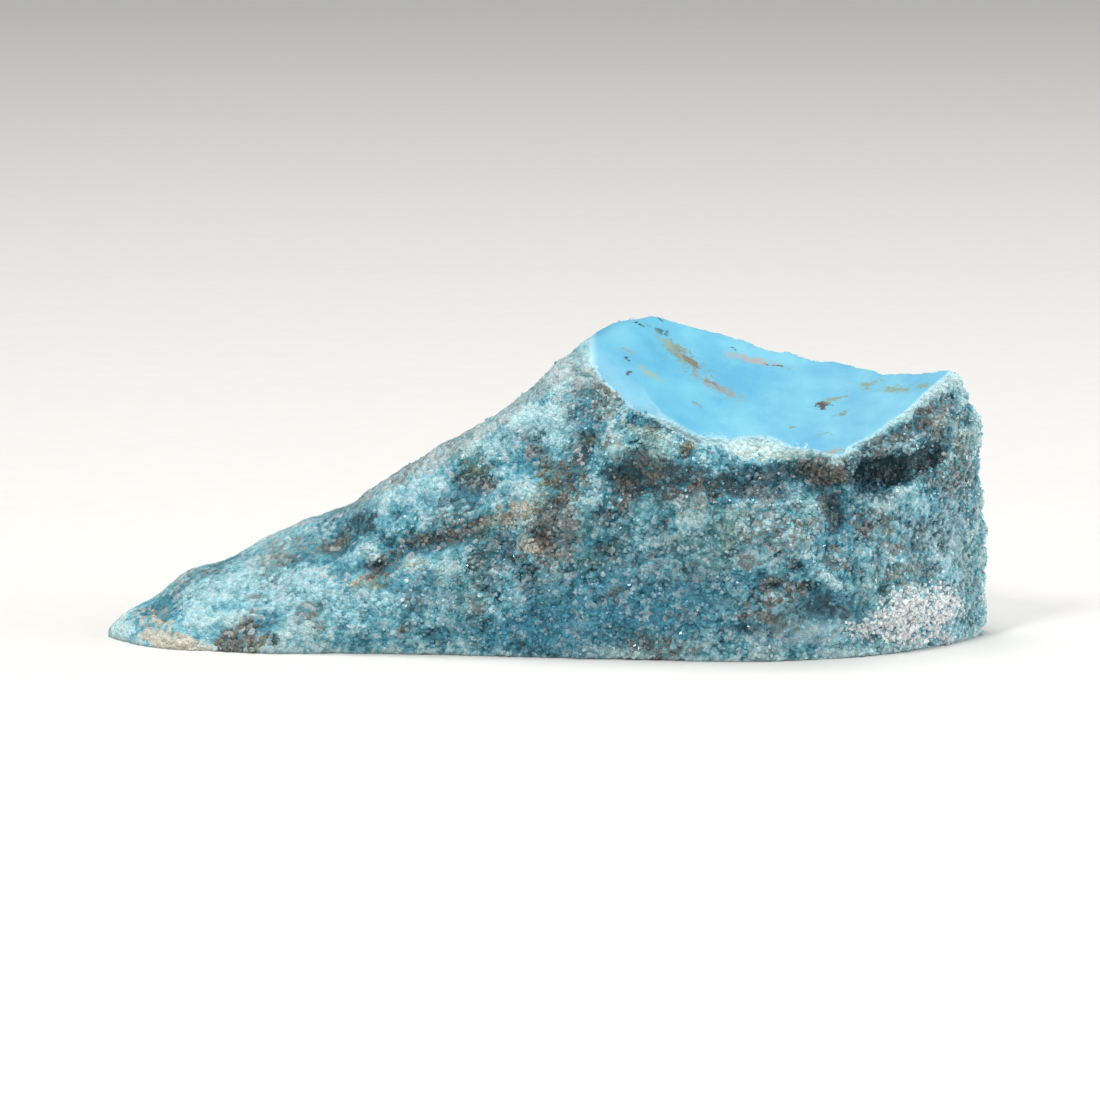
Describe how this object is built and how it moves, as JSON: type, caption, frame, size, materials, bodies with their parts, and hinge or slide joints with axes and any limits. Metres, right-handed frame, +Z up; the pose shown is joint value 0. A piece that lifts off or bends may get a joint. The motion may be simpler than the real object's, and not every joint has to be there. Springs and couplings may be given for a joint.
{
  "type": "raw turquoise nugget",
  "caption": "Wedge-shaped piece of raw turquoise with a rough, sugary skin, a thin tip and one smooth hollow face on its thick end, lying on a flat underside.",
  "frame": {"origin": "on the flat underside, under the middle of the stone's bounding box", "axes": "+X from the thin tip to the thick end, +Y from the front to the back, +Z up"},
  "size_m": [0.0602, 0.0196, 0.0219],
  "materials": {
    "turquoise": "rough sugary skin in dull blue-green, one smooth sky-blue face"
  },
  "bodies": {
    "root": {"turquoise_nugget": "turquoise"}
  },
  "joints": []
}
